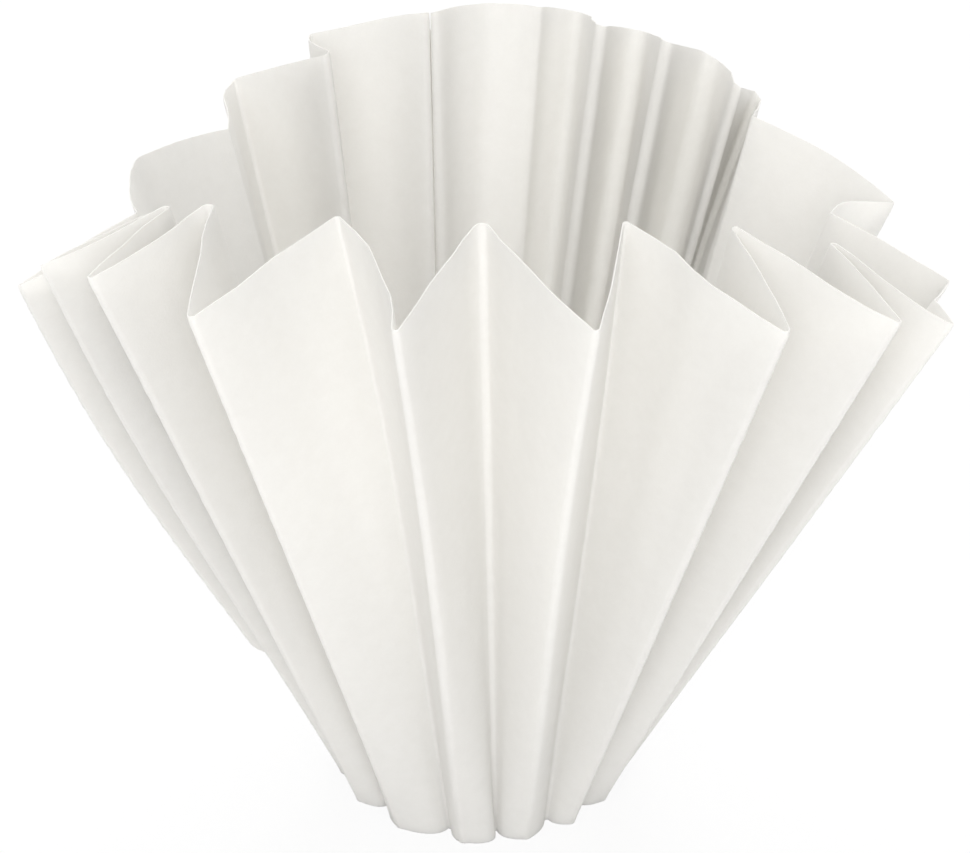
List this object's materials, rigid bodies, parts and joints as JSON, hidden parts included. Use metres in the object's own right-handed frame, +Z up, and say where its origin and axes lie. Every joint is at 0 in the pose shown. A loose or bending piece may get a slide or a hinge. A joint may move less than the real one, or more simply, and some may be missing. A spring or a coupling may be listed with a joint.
{
  "type": "paper coffee filter",
  "caption": "Fluted paper coffee filter, a round pleated sheet standing open on a gathered flat bottom.",
  "frame": {"origin": "middle of the flat bottom, on the surface the filter stands on", "axes": "+Z up through the open mouth, -Y towards the front, +X to the right seen from the front"},
  "size_m": [0.0741, 0.0674, 0.0639],
  "materials": {
    "filter_paper": "matt uncoated filter paper"
  },
  "bodies": {
    "root": {"filter_paper": "filter_paper"}
  },
  "joints": []
}
